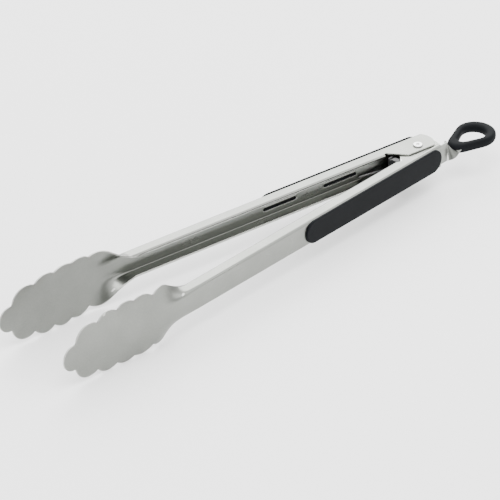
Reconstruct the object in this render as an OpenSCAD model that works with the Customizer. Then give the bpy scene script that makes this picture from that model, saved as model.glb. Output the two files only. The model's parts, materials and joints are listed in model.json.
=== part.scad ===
// Spring loaded kitchen tongs, shown open at rest with the hinge pin upright.
// X runs from the hang ring to the heads, Y across the two arms, Z along the hinge pin.
// Both arms are drawn in their own flat frame: x along the arm from the pin to the head,
// y outwards from the middle of the tongs to the web, z along the pin.

/* [Arms] */
// Length of an arm from the hinge pin to the tip of its head
arm_len = 301.6; // [250:0.1:370]
// Angle between the two arms when the tongs are open
open_angle = 10.18; // [8:0.01:13]
// Height of the channel over both flanges
channel_h = 15.5; // [14.2:0.1:19]
// Distance from the hinge pin to the outer face of the web
web_out = 10.33; // [9.8:0.01:12.5]
// Depth of a flange from the outer face of the web to its free edge
flange_depth = 7.7; // [6.5:0.1:8.2]
// Thickness of the steel sheet
sheet = 0.9; // [0.75:0.01:1.08]
// Outer radius of the bend between web and flange
bend_r = 1.6; // [1.2:0.1:2]
// How far the rolled lip turns in along the free edge of a flange
lip_depth = 1.8; // [1.4:0.1:2.2]
// Length that the web runs on past the hinge pin
web_tail = 9.3; // [8.6:0.1:10]

/* [Heads] */
// Length of a head with its neck, from the end of the plain channel to the tip
head_len = 94; // [84:1:104]
// Length over which the flanges splay out into the head
neck_len = 22; // [18:1:24]
// Depth of the dish across the widest part of a head
dish = 2.6; // [1:0.1:3.5]
// Distance from the middle of the tongs to the outer face of a tip
tip_out = 1.1; // [1.1:0.05:1.4]
// Half width of the head where it meets the neck
shoulder_w = 18.1; // [15:0.1:20]

/* [Hinge] */
// Diameter of the hinge pin
pin_d = 4; // [3.3:0.1:4.8]
// Radial clearance of the hinge pin in its holes
pin_fit = 0.05; // [0.02:0.01:0.1]
// Diameter of the formed heads of the hinge pin
pin_head_d = 5.8; // [5.6:0.1:7.2]
// Height of the formed heads of the hinge pin
pin_head_h = 0.8; // [0.5:0.1:1.2]
// Radius of the nose of an ear
ear_r = 10; // [9:0.1:11]
// How far the ears reach past the middle of the tongs
ear_reach = 5.2; // [4.6:0.1:5.6]
// Distance from the hinge pin to the point of the arrow shaped notch
notch_point = 16.2; // [15.6:0.1:17]
// Distance from the hinge pin to the barbs of the notch, where the lips start
notch_end = 22; // [21.5:0.1:24]
// Gap between sheets that slide over each other
slide_gap = 0.1; // [0.06:0.01:0.16]
// Gap left at the opening stop
stop_gap = 0.12; // [0.08:0.01:0.3]

/* [Spring] */
// Thickness of the spring wire
wire_d = 1.3; // [1:0.05:1.4]
// Whole turns of the spring coil
coil_turns = 6; // [4:1:6]
// Length that a spring leg reaches along its arm
leg_reach = 37; // [30:0.5:44]
// Wall of the bush between the ears
bush_wall = 0.8; // [0.5:0.05:0.9]
// Gap between the bush and the coil, and between a leg and its web
coil_gap = 0.2; // [0.1:0.05:0.3]

/* [Grips] */
// Length of a grip
grip_len = 119.2; // [100:0.1:140]
// How far the grip stands out from the web
grip_proud = 1.4; // [0.8:0.1:2.2]
// Strip of bare web above and below a grip
grip_margin = 0.25; // [0.2:0.05:0.8]
// Distance from the hinge pin to the middle of the first slot pair
slot_first = 50.7; // [46:0.1:54]
// Distance between the two slot pairs
slot_pitch = 44.7; // [36:0.1:48]
// Length of a slot
slot_len = 24; // [16:0.5:28]
// Height of a slot
slot_h = 1.7; // [1.2:0.1:2]
// Distance of a slot row from the middle of the web
slot_row = 1.9; // [1.6:0.1:3]

/* [Lock] */
// Thickness of the lock tab
tab_t = 0.9; // [0.7:0.01:0.95]
// Travel of the lock from free to locked
lock_travel = 5.5; // [5:0.1:5.8]
// Length of the catch block along the arm
block_len = 3.7; // [3:0.1:3.9]
// Width of the tab where it lies flat
tab_flat_w = 10.9; // [9:0.1:12]
// Length over which the tab twists from upright to flat
twist_len = 7; // [6:0.5:9]

/* [Hang ring] */
// Radius of the far end of the ring
ring_r = 12.25; // [10.5:0.05:14]
// Radius of the end of the ring that holds the tab
ring_neck_r = 6.6; // [6.3:0.1:8]
// Radius of the far end of the hole
hole_r = 7.15; // [6:0.05:8]
// Radius of the near end of the hole
hole_neck_r = 3.1; // [2.5:0.1:4]
// Length of the ring
ring_len = 34.7; // [31:0.1:42]
// Height of the ring section
ring_h = 5.8; // [4.8:0.1:7]
// Diameter of the hole in the tab that the rubber fills
eye_d = 3.2; // [2:0.1:4]

/* [Hidden] */
$fn = 48;
half_angle = open_angle / 2;
half_h = channel_h / 2;
flange_in = half_h - sheet;
web_in = web_out - sheet;
lip_t = web_out - flange_depth;
head_s = arm_len - head_len;
eps = 0.01;
// Distance before the head at which the rolled lips end
lip_run_out = 6;

// Scallops of a head edge: distance back from the tip and half width at each valley,
// and how far the lobe in front of that valley bulges past its chord.
valleys = [[9.2, 8.2, 0], [25.7, 15.4, 5.1], [40.2, 17.3, 3.0], [52.9, 18.1, 2.1], [66.4, 16.2, 2.1]];
tip_w = 1.6;
lobe_steps = 6;
// Rise of the sheet from its edge to its middle, at the tip as well
crown = 0.25;

// Ears
ear_top = flange_in - slide_gap;
ear_low = ear_top - sheet;
ear_end = 12;
nose_s = ear_r - ear_end;
nose_t = 2.5;
step_t = 7.2;
step_gap = 0.4;

// Lock
tab_gap = (web_in - step_t - sheet - tab_t) / 2;
tab_out = web_in - tab_gap;
tab_in = tab_out - tab_t;
tab_mid = (tab_in + tab_out) / 2;
tab_half = ear_low + 0.55;
catch_in = lip_t + sheet + 0.2;
catch_out = catch_in + 0.9;
block_end = notch_end - 0.7;
block_start = block_end - block_len;
block_low = 3.2;
block_top = flange_in - 0.45;
narrow_from = 8;
twist_from = -web_tail - lock_travel - 0.6;
twist_to = twist_from - twist_len;
// Rubber beyond the hole at each end, length of the tab inside the ring, steel beyond the eye,
// and the gap between rubber and steel
far_wall = 7;
near_wall = 8.2;
plate_in_ring = 6.6;
eye_wall = 2.6;
mould_gap = 0.03;
ring_near = twist_to + 2.4;
ring_far = ring_near - ring_len;
ring_c = ring_far + ring_r;
ring_neck_c = ring_near - ring_neck_r;
hole_far_c = ring_far + far_wall + hole_r;
hole_near_c = ring_near - near_wall - hole_neck_r;
plate_end = ring_near - plate_in_ring;
eye_s = plate_end + eye_wall;

// Spring
bush_r = pin_d / 2 + pin_fit + bush_wall;
coil_r = bush_r + coil_gap + wire_d / 2;
coil_top = ear_low - 0.6 - wire_d / 2;
leg_t = web_in - wire_d / 2 - coil_gap / 4;
leg_slope = atan2(leg_t, leg_reach) - asin(coil_r / norm([leg_reach, leg_t]));

function lerp(a, b, f) = a + (b - a) * f;
function ease(f) = f <= 0 ? 0 : f >= 1 ? 1 : f * f * (3 - 2 * f);

// ---- Outline of a head ----

// Points of an arc from a to b that bulges by rise to the left of the way from a to b
function arc_between(a, b, rise, steps) =
    let (half = norm(b - a) / 2, r = (half * half + rise * rise) / (2 * rise), way = (b - a) / (2 * half),
         side = [-way[1], way[0]], mid = (a + b) / 2, centre = mid - side * (r - rise),
         span = 2 * atan2(half, r - rise))
    [for (i = [1:steps]) let (w = span * (i / steps - 0.5)) centre + r * (way * sin(w) + side * cos(w))];

function valley(i) = [arm_len - valleys[i][0], valleys[i][1]];
tip_r = (valleys[0][1] * valleys[0][1] + valleys[0][0] * valleys[0][0]) / (2 * valleys[0][0]);
shoulder = [head_s + neck_len, shoulder_w];

// Edge of the head from the shoulder to the tip, each point as [distance, half width]
shoulder_pts = [for (i = [0:lobe_steps]) let (f = i / lobe_steps, end = valley(4))
    [lerp(shoulder[0], end[0], f), lerp(shoulder[1], end[1], f * f)]];
lobe_pts = [for (k = [3:-1:0]) each arc_between(valley(k + 1), valley(k), valleys[k + 1][2], lobe_steps)];
tip_pts = [for (i = [1:lobe_steps]) let (w = lerp(asin(valleys[0][1] / tip_r), asin(tip_w / tip_r), i / lobe_steps))
    [arm_len - tip_r + tip_r * cos(w), tip_r * sin(w)]];
neck_pts = [for (i = [0:7]) [head_s + neck_len * i / 8, shoulder_w]];
head_edge = concat(neck_pts, shoulder_pts, lobe_pts, tip_pts);
head_w = max([for (e = head_edge) e[1]]);

// Place of the hinge pin: the origin is under the middle of the bounding box
x_front = arm_len * cos(half_angle) - (tip_out - sheet) * sin(half_angle);
x_back = ring_c * cos(half_angle) - tab_mid * sin(half_angle) - ring_r;
pin_x = -(x_front + x_back) / 2;
pin_z = head_w;

// ---- Cross sections ----

// Half section of the channel, from the middle of the web to the free edge of the flange:
// the outer skin with d = 0, the inner skin with d = sheet
function half_channel(d) = let (c = half_h - bend_r, r = bend_r - d) concat(
    [for (i = [0:3]) [c * i / 4, web_out - d]],
    [for (i = [0:3]) [c + r * sin(30 * i), web_out - bend_r + r * cos(30 * i)]],
    [[half_h - d, lerp(web_out - bend_r, lip_t, 0.5)], [half_h - d, lip_t]]);

last = len(half_channel(0)) - 1;
// Share of the half width at which each point of the half section lies on the flat head
function share(i) = i / last;

// Outer face of the head at its edge, and the extra height of the dish at its middle
function edge_out(s) = let (back = arm_len - s) tip_out + 0.03 * back + 0.0007 * back * back;
function dish_at(s) = dish * ease((arm_len - s) / 55);

// Half section of the head at distance s with half width w
function half_head(s, w, d) = [for (i = [0:last])
    [w * share(i), edge_out(s) + dish_at(s) * (1 - pow(w * share(i) / head_w, 2)) + crown * (1 - pow(share(i), 2)) - d]];

function half_section(s, w, d) = let (f = ease((s - head_s) / neck_len), a = half_channel(d), b = half_head(s, w, d))
    [for (i = [0:last]) lerp(a[i], b[i], f)];

function mirrored(pts) = concat([for (i = [last:-1:1]) [-pts[i][0], pts[i][1]]], pts);
function ring_of(s, w) = concat(mirrored(half_section(s, w, 0)),
    [for (p = mirrored(half_section(s, w, sheet))) [-p[0], p[1]]]);

// Closed skin over a list of equal rings of points
module skin(rings) {
    n = len(rings[0]);
    m = len(rings);
    polyhedron(
        points = [for (ring = rings) each ring],
        faces = concat(
            [[for (j = [0:n - 1]) j]],
            [[for (j = [0:n - 1]) m * n - 1 - j]],
            [for (i = [0:m - 2]) for (j = [0:n - 1]) let (k = (j + 1) % n)
                each [[i * n + j, (i + 1) * n + k, i * n + k], [i * n + j, (i + 1) * n + j, (i + 1) * n + k]]]));
}

// ---- Arms ----

// The channel and its head as one bent sheet, before the notch and the holes are cut
module channel_and_head() {
    edge = concat([[-web_tail, shoulder_w]], head_edge);
    skin([for (e = edge) [for (p = ring_of(e[0], e[1])) [e[0], p[1], p[0]]]]);
}

module both_sides() {
    children();
    mirror([0, 0, 1]) children();
}

module lips() {
    both_sides() translate([notch_end, lip_t, half_h - lip_depth])
        cube([head_s - lip_run_out - notch_end, sheet, lip_depth - sheet / 2]);
}

// Flat outline of an ear, from the web to its reach past the middle
module ear_outline() {
    intersection() {
        union() {
            translate([nose_s, nose_t]) circle(ear_r);
            polygon([[-web_tail, web_out - bend_r], [-web_tail, nose_t], [nose_s, -ear_reach - 1],
                     [notch_point - ear_reach - 1, -ear_reach - 1], [notch_point + lip_t + 1.7, lip_t + 1.7],
                     [notch_end, lip_t], [notch_end, web_out - bend_r]]);
        }
        translate([-40, -ear_reach]) square([80, web_out - bend_r + ear_reach]);
    }
}

// Area that the other arm's ear sweeps over, grown by a margin
module swept_area(margin) {
    top = step_t + margin;
    slope = notch_point + (step_gap + margin) * sqrt(2);
    polygon([[-40, top], [slope - top, top], [slope + 20, -20], [-40, -20]]);
}

module ears(inner) {
    both_sides() {
        if (inner) {
            translate([0, 0, flange_in]) linear_extrude(sheet) difference() {
                ear_outline();
                swept_area(0);
            }
            translate([0, 0, ear_low]) linear_extrude(half_h - ear_low) intersection() {
                ear_outline();
                difference() {
                    swept_area(sheet);
                    swept_area(0);
                }
            }
            translate([0, 0, ear_low]) linear_extrude(sheet) intersection() {
                ear_outline();
                swept_area(sheet);
            }
        } else {
            translate([0, 0, flange_in]) linear_extrude(sheet) ear_outline();
        }
    }
}

// A point of the other arm, given in its own frame, as this arm sees it when open
function other_arm(s, t) = [s * cos(open_angle) - t * sin(open_angle), -s * sin(open_angle) - t * cos(open_angle)];

module stop_heels() {
    corner = bend_r - sheet;
    reach = web_out - bend_r + sqrt(pow(corner, 2) - pow(corner - slide_gap, 2)) - stop_gap;
    both_sides() translate([0, 0, ear_low]) linear_extrude(sheet)
        polygon([[nose_s, 0], other_arm(-web_tail + 0.5, nose_t), other_arm(-web_tail + 0.5, reach),
                 other_arm(-web_tail + 3, reach), [nose_s + 1, -ear_reach + 1]]);
}

module at_slots() {
    for (s = [slot_first, slot_first + slot_pitch])
        for (z = [-slot_row, slot_row])
            translate([s, 0, z]) children();
}

module slot_shape(grow, from, to) {
    length = slot_len - slot_h;
    translate([0, to, 0]) rotate([90, 0, 0]) linear_extrude(to - from) {
        square([length, slot_h + 2 * grow], center = true);
        for (side = [-1, 1]) translate([side * length / 2, 0]) circle(slot_h / 2 + grow);
    }
}

module arm(inner) {
    difference() {
        union() {
            difference() {
                channel_and_head();
                translate([-web_tail - 1, 0, -half_h - 1])
                    cube([web_tail + notch_end + 1, web_out - bend_r, channel_h + 2]);
            }
            ears(inner);
            if (inner) stop_heels();
            lips();
        }
        translate([0, 0, -half_h - 1]) cylinder(h = channel_h + 2, d = pin_d + 2 * pin_fit);
        at_slots() slot_shape(0, web_in - 1, web_out + 1);
    }
}

// Places of the two arms in the whole object
module front_side() {
    translate([pin_x, 0, pin_z]) rotate([0, 0, half_angle]) children();
}

module rear_side() {
    translate([pin_x, 0, pin_z]) mirror([0, 1, 0]) rotate([0, 0, half_angle]) children();
}

module front_arm() {
    color("silver") front_side() arm(true);
}

module rear_arm() {
    color("silver") rear_side() arm(false);
}

// ---- Grips ----

module grip() {
    tall = channel_h - 2 * grip_margin;
    end_r = tall / 2;
    from = -web_tail + 0.7;
    bevel = 0.5;
    translate([from + end_r, web_out, 0]) rotate([-90, 0, 0]) {
        linear_extrude(grip_proud - bevel) {
            translate([0, -end_r]) square([grip_len - tall, tall]);
            for (x = [0, grip_len - tall]) translate([x, 0]) circle(end_r);
        }
        translate([0, 0, grip_proud - bevel]) linear_extrude(bevel) {
            translate([0, bevel - end_r]) square([grip_len - tall, tall - 2 * bevel]);
            for (x = [0, grip_len - tall]) translate([x, 0]) circle(end_r - bevel);
        }
    }
    at_slots() slot_shape(-0.04, web_in - 0.2, web_out + 0.2);
}

module front_grip() {
    color("#24262b") front_side() grip();
}

module rear_grip() {
    color("#24262b") rear_side() grip();
}

// ---- Hinge ----

// Half section of the pin over its middle: shank, formed head and the dimple in it
module pivot_rivet() {
    under = half_h + 0.05;
    rim = under + pin_head_h;
    half = [[pin_d / 2, under], [pin_head_d / 2, under], [pin_head_d / 2, under + pin_head_h * 0.5],
            [pin_head_d / 2 - 0.5, rim], [pin_d / 4, rim], [pin_d / 4, rim - pin_head_h * 0.7],
            [0, rim - pin_head_h * 0.7]];
    turns = len(half) - 1;
    color("gainsboro") translate([pin_x, 0, pin_z]) rotate_extrude()
        polygon(concat(half, [for (i = [turns:-1:0]) [half[i][0], -half[i][1]]]));
}

module spacer_bush() {
    long = 2 * (ear_low - 0.05);
    color("gray") translate([pin_x, 0, pin_z]) difference() {
        cylinder(h = long, r = bush_r, center = true);
        cylinder(h = long + 2, r = pin_d / 2 + pin_fit, center = true);
    }
}

// ---- Spring ----

// Middle line of the wire: front leg, coil, rear leg
function turned(p, a) = [p[0] * cos(a) - p[1] * sin(a), p[0] * sin(a) + p[1] * cos(a)];
leg_tip = turned([leg_reach, leg_t], half_angle);
coil_from = 90 + leg_slope + half_angle;
coil_to = 360 * (coil_turns + 1) - coil_from;
coil_steps = 24 * coil_turns;
coil_path = [for (i = [0:coil_steps]) let (f = i / coil_steps, a = lerp(coil_from, coil_to, f))
    [coil_r * cos(a), coil_r * sin(a), lerp(coil_top, -coil_top, f)]];
wire_path = concat([[leg_tip[0], leg_tip[1], coil_top]], coil_path, [[leg_tip[0], -leg_tip[1], -coil_top]]);

function unit(v) = v / norm(v);
function way_at(path, i) = unit(path[min(i + 1, len(path) - 1)] - path[max(i - 1, 0)]);

module torsion_spring() {
    rings = [for (i = [0:len(wire_path) - 1]) let (way = way_at(wire_path, i), side = unit(cross([0, 0, 1], way)),
        up = cross(way, side))
        [for (k = [0:7]) wire_path[i] + wire_d / 2 * (side * cos(45 * k) + up * sin(45 * k))]];
    color("#8d8f92") translate([pin_x, 0, pin_z]) skin(rings);
}

// ---- Lock ----

module box_between(a, b) {
    translate(a) cube(b - a);
}

// Flat end of the tab inside the ring, with its eye
module tab_end(grow) {
    difference() {
        box_between([plate_end - grow, tab_mid - tab_flat_w / 2 - grow, -tab_t / 2 - grow],
                    [twist_to, tab_mid + tab_flat_w / 2 + grow, tab_t / 2 + grow]);
        translate([eye_s, tab_mid, -5]) cylinder(h = 10, d = eye_d - 2 * grow);
    }
}

module twisted_part(grow) {
    steps = 12;
    thick = tab_t / 2 + grow;
    skin([for (i = [0:steps]) let (f = i / steps, a = 90 * ease(f), wide = lerp(tab_half, tab_flat_w / 2, f) + grow)
        [for (c = [[-1, -1], [-1, 1], [1, 1], [1, -1]]) let (u = c[0] * thick, v = c[1] * wide)
            [lerp(twist_to, twist_from, 1 - f), tab_mid + u * cos(a) - v * sin(a), u * sin(a) + v * cos(a)]]]);
}

module lock_tab() {
    color("silver") front_side() difference() {
        union() {
            box_between([twist_from, tab_in, -tab_half], [narrow_from, tab_out, tab_half]);
            box_between([narrow_from - 1, tab_in, -block_low], [block_end, tab_out, block_low]);
            twisted_part(0);
            tab_end(0);
        }
        peg(0.05, 1);
    }
}

module peg(grow, over) {
    translate([(block_start + block_end) / 2, tab_out + over, 0]) rotate([90, 0, 0])
        cylinder(h = tab_t + 1 + over, d = 2.2 + 2 * grow);
}

// Black catch block on the inner end of the tab; its four fingers slide in behind the lips
module lock_block() {
    color("#1c1d20") front_side() {
        box_between([block_start, -catch_out, -block_low], [block_end, tab_in, block_low]);
        for (side = [-1, 1]) for (t = [side * catch_out, side * catch_in])
            box_between([block_start, min(side * catch_out, side * catch_in), -block_top],
                        [block_end, max(side * catch_out, side * catch_in), block_top]);
        box_between([block_start, -lip_t + 0.3, -block_top], [block_end, lip_t - 0.3, block_top]);
        box_between([block_start, -catch_in - eps, -half_h + lip_depth + 0.3],
                    [block_end, catch_in + eps, half_h - lip_depth - 0.3]);
        peg(0, 0);
    }
}

// ---- Hang ring ----

// Point of the outline round two circles on the ring's axis, in the direction a
function teardrop(far_c, far_r, near_c, near_r, a) =
    let (n = [cos(a), sin(a)], far = far_c * n[0] + far_r, near = near_c * n[0] + near_r)
    far > near ? [far_c + far_r * n[0], far_r * n[1]] : [near_c + near_r * n[0], near_r * n[1]];

module ring_band() {
    turns = 48;
    sides = 12;
    rows = [for (i = [0:turns - 1]) let (a = 360 * i / turns,
        outer = teardrop(ring_c, ring_r, ring_neck_c, ring_neck_r, a),
        inner = teardrop(hole_far_c, hole_r, hole_near_c, hole_neck_r, a),
        mid = (outer + inner) / 2, half = (outer - inner) / 2)
        [for (k = [0:sides - 1]) let (w = 360 * k / sides, c = cos(w), s = sin(w),
            p = mid + half * sign(c) * pow(abs(c), 0.7))
            [p[0], tab_mid + p[1], ring_h / 2 * sign(s) * pow(abs(s), 0.7)]]];
    polyhedron(
        points = [for (row = rows) each row],
        faces = [for (i = [0:turns - 1]) for (k = [0:sides - 1])
            let (a = i * sides + k, b = i * sides + (k + 1) % sides,
                 c = ((i + 1) % turns) * sides + (k + 1) % sides, d = ((i + 1) % turns) * sides + k)
            each [[a, b, c], [a, c, d]]]);
}

module hang_ring() {
    color("#24262b") front_side() difference() {
        ring_band();
        tab_end(mould_gap);
        twisted_part(mould_gap);
    }
}

front_arm();
rear_arm();
front_grip();
rear_grip();
pivot_rivet();
spacer_bush();
torsion_spring();
lock_tab();
lock_block();
hang_ring();
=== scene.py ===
"""Finished look of a pair of spring loaded kitchen tongs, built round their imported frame.

Each arm is one sheet of stainless steel: a flat blank is cut to its outline, folded into a
channel, splayed into a scalloped head and given its thickness. The catch block is a bevelled
extrusion, and the rest are lofts, sweeps and turned profiles. Everything is in metres, in the
frame of the CAD model.
"""

import json
import math
from types import SimpleNamespace

import bmesh
import bpy
import numpy as np
from bpy.props import FloatProperty, FloatVectorProperty, IntProperty, PointerProperty, StringProperty
from mathutils import Euler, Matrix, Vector
from mathutils.geometry import delaunay_2d_cdt


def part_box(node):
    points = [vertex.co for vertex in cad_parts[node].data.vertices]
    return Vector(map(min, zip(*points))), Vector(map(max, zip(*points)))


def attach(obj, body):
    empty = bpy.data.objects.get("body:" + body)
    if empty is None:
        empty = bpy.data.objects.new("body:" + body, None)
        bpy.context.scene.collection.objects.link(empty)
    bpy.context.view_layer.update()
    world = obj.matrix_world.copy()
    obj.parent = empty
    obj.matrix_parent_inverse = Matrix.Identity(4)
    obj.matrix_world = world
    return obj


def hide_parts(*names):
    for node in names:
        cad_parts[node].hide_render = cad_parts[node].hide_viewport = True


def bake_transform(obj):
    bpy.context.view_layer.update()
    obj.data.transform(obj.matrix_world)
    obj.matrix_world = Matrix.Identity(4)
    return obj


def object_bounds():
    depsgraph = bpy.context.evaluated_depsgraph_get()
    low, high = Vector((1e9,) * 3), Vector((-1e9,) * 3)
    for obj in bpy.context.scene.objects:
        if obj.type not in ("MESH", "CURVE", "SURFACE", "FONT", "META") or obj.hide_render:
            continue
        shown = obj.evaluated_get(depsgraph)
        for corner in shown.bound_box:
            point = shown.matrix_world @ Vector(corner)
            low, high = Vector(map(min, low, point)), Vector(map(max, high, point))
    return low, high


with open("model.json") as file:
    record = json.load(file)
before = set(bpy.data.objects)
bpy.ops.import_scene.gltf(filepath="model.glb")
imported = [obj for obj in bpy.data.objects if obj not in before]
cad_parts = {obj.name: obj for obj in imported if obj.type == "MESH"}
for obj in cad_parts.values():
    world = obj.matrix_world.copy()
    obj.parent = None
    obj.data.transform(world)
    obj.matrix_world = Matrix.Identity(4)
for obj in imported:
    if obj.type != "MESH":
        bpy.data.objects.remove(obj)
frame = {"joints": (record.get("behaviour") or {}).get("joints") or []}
CAD_LOW, CAD_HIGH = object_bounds()

bl_info = {
    "name": "Kitchen Tongs",
    "version": (1, 0, 0),
    "blender": (4, 5, 0),
    "location": "3D View > Sidebar > Tongs",
    "description": "Builds the finished pieces of spring loaded kitchen tongs",
    "category": "Add Mesh",
}

MM = 0.001
JOINTS = {joint["name"]: joint for joint in frame["joints"]}
PIN = Vector(JOINTS["arm_hinge"]["pos_m"])
SLIDE_AXIS = Vector(JOINTS["lock_slide"]["axis"])
HALF_ANGLE = math.atan2(SLIDE_AXIS.y, SLIDE_AXIS.x)
LOCK_TRAVEL = JOINTS["lock_slide"]["range_m"][1]
FRONT, REAR = 1, -1


# ---------------------------------------------------------------- Settings


def length(name, description, mm):
    """A length property; its default is given in millimetres."""
    return FloatProperty(name=name, description=description, default=mm * MM, unit="LENGTH", precision=5)


def bearing(name, description, degrees):
    """An angle property; its default is given in degrees."""
    return FloatProperty(name=name, description=description, default=math.radians(degrees), subtype="ANGLE")


def colour(name, description, value):
    """A colour property that holds an sRGB hex value."""
    return StringProperty(name=name, description=description, default=value)


class TongsArmSettings(bpy.types.PropertyGroup):
    """Sizes of the folded channel of an arm"""

    reach: length("Reach", "Hinge pin to the tip of the head", 301.6)
    channel: length("Channel height", "Height of the channel over both flanges", 15.5)
    web: length("Web distance", "Hinge pin to the outer face of the web", 10.33)
    flange: length("Flange depth", "Outer face of the web to the free edge of a flange", 7.7)
    sheet: length("Sheet thickness", "Thickness of the stainless sheet", 0.9)
    bend: length("Bend radius", "Outer radius of the bend between web and flange", 1.6)
    neck_bend: length("Neck bend", "How much the bend radius grows towards the head", 3.2)
    lip_bend: length("Lip bend radius", "Outer radius of the rolled lip", 1.2)
    lip: length("Lip depth", "How far the rolled lip turns in", 1.8)
    tail: length("Web tail", "Length that the web runs on past the pin", 9.3)
    edge: length("Edge break", "How much the cut edges of the sheet are broken", 0.16)


class TongsHeadSettings(bpy.types.PropertyGroup):
    """Sizes of a scalloped head"""

    head: length("Head length", "End of the plain channel to the tip", 94.0)
    neck: length("Neck length", "Length over which the channel splays out", 22.0)
    shoulder: length("Shoulder half width", "Half width where the neck meets the head", 18.1)
    dish: length("Dish", "Depth of the dish across the head", 2.6)
    dish_length: length("Dish length", "Tip to where the dish is at its full depth", 55.0)
    widest: length("Widest half width", "Half width of the widest scallop", 19.8)
    tip: length("Tip distance", "Middle of the tongs to the outer face of a tip", 1.1)
    lean: FloatProperty(name="Lean", description="Slope of the head's face at its tip", default=0.03)
    curl: FloatProperty(name="Curl", description="Half of how much that slope grows per metre", default=0.7)


class TongsHingeSettings(bpy.types.PropertyGroup):
    """Sizes of the ears, the rivet and the bush"""

    pin: length("Pin diameter", "Diameter of the rivet's shank", 4.0)
    head: length("Rivet head diameter", "Diameter of the formed heads", 5.8)
    head_height: length("Rivet head height", "Height of the formed heads", 0.8)
    clearance: length("Pin clearance", "Radial clearance of the pin", 0.05)
    nose: length("Ear nose radius", "Radius of the nose of an ear", 10.0)
    end: length("Ear end", "Pin to the end of an ear's nose", 12.0)
    nose_rise: length("Nose offset", "Middle of the tongs to the middle of an ear's nose", 2.5)
    reach: length("Ear reach", "How far an ear reaches past the middle", 5.2)
    barb: length("Barb", "Free edge of a flange to the barb of the notch", 1.7)
    step: length("Ear step", "Middle of the tongs to the step of the inner ears", 7.2)
    step_room: length("Step room", "Edge of the notch to the step", 0.4)
    heel_gap: length("Heel reach", "How far a stop heel reaches past the other arm's fold", 0.24)
    notch_point: length("Notch point", "Pin to the point of the notch", 16.2)
    notch_end: length("Notch end", "Pin to the start of the lips", 22.0)
    gap: length("Sliding gap", "Gap between ears that slide over each other", 0.1)
    bush_wall: length("Bush wall", "Wall of the bush between the ears", 0.8)


class TongsSpringSettings(bpy.types.PropertyGroup):
    """Sizes of the torsion spring"""

    wire: length("Wire diameter", "Thickness of the spring wire", 1.3)
    radius: length("Coil radius", "Radius of the coil to the middle of the wire", 3.7)
    height: length("Coil half height", "Middle of the coil to its end turns", 4.6)
    leg: length("Leg reach", "Length that a leg reaches along its arm", 37.0)
    leg_distance: length("Leg distance", "Distance of a leg's end from the middle of its arm", 8.73)
    turns: IntProperty(name="Turns", description="Whole turns of the coil", default=6)


class TongsGripSettings(bpy.types.PropertyGroup):
    """Sizes of the rubber grips and the slots that hold them"""

    grip: length("Grip length", "Length of a grip", 119.2)
    margin: length("Margin", "Bare web above and below a grip", 0.25)
    proud: length("Proud", "How far a grip stands out from the web", 1.4)
    inset: length("End inset", "End of the web to the end of the grip", 0.7)
    slot_first: length("First slots", "Pin to the middle of the first slot pair", 50.7)
    slot_pitch: length("Slot pitch", "Distance between the slot pairs", 44.7)
    slot_length: length("Slot length", "Length of a slot", 24.0)
    slot_height: length("Slot height", "Height of a slot", 1.7)
    slot_row: length("Slot row", "Middle of the web to a slot row", 1.9)


class TongsLockSettings(bpy.types.PropertyGroup):
    """Sizes of the lock tab and its catch block"""

    sheet: length("Tab thickness", "Thickness of the tab", 0.9)
    middle: length("Tab distance", "Middle of the tongs to the middle of the tab", 8.765)
    half: length("Tab half height", "Half height of the upright part", 6.4)
    narrow: length("Tab half height at the catch", "Half height of the narrow inner end", 3.2)
    flat: length("Flat width", "Width of the tab where it lies flat", 10.9)
    twist: length("Twist length", "Length over which the tab twists", 7.0)
    end: length("Tab end", "Start of the lips to the inner end of the tab", 0.7)
    shoulder: length("Tab shoulder", "Pin to where the tab gets its full height", 8.0)
    corner: length("Shoulder corner", "Length of the shoulder's round corner", 1.2)
    clear: length("Twist clearance", "End of the web to the twist when the ring is pushed in", 0.6)
    block: length("Catch length", "Length of the catch block along the arm", 3.7)
    finger: length("Finger thickness", "Thickness of the fingers that hold the lips", 0.9)
    peg: length("Peg diameter", "Diameter of the peg that holds the block", 2.2)


class TongsRingSettings(bpy.types.PropertyGroup):
    """Sizes of the rubber hang ring"""

    length: length("Ring length", "Length of the ring", 34.7)
    far: length("Far radius", "Radius of the far end", 12.25)
    near: length("Near radius", "Radius of the end that holds the tab", 6.6)
    hole: length("Hole radius", "Radius of the far end of the hole", 7.15)
    hole_near: length("Hole near radius", "Radius of the near end of the hole", 3.1)
    wall_far: length("Far wall", "Rubber between the hole and the far end", 7.0)
    wall_near: length("Near wall", "Rubber between the hole and the tab end", 8.2)
    height: length("Ring height", "Height of the ring's section", 5.8)
    overlap: length("Ring overlap", "How far the ring reaches over the twist", 2.4)
    held: length("Plate in ring", "How far the tab reaches into the ring", 6.6)


class TongsFinishSettings(bpy.types.PropertyGroup):
    """Colours of the finishes, as sRGB hex values"""

    steel: colour("Steel", "Satin stainless steel", "#868883")
    steel_dark: colour("Steel, darker grain", "Troughs of the brushed grain", "#71736F")
    # Steel, rubbed edges is mostly a painted highlight on edges and bends, with a little edge wear
    steel_edge_highlight: colour("Steel, rubbed edges", "Edges polished by use", "#BBBCB8")
    rivet_dark: colour("Rivet, darker rings", "Troughs of the rivet's turning marks", "#B9BABA")
    rivet: colour("Rivet", "Polished rivet steel", "#E3E3E1")
    bush_dark: colour("Bush, darker rings", "Troughs of the bush's turning marks", "#8F9090")
    bush: colour("Bush", "Turned bush steel", "#B5B5B3")
    wire_dark: colour("Spring wire, darker lines", "Troughs of the drawing marks", "#7E7F80")
    wire: colour("Spring wire", "Drawn spring steel", "#9A9B9A")
    rubber: colour("Rubber", "Moulded rubber of grips and ring", "#07090B")
    # Rubber, handled is lighter rubber for random mottling and for a painted highlight on rounded crests
    rubber_mottle_and_crest_highlight: colour("Rubber, handled", "Rubber where hands have rubbed it", "#0D0F13")
    nylon: colour("Nylon", "Moulded nylon of the catch block", "#0D0E10")


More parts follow.
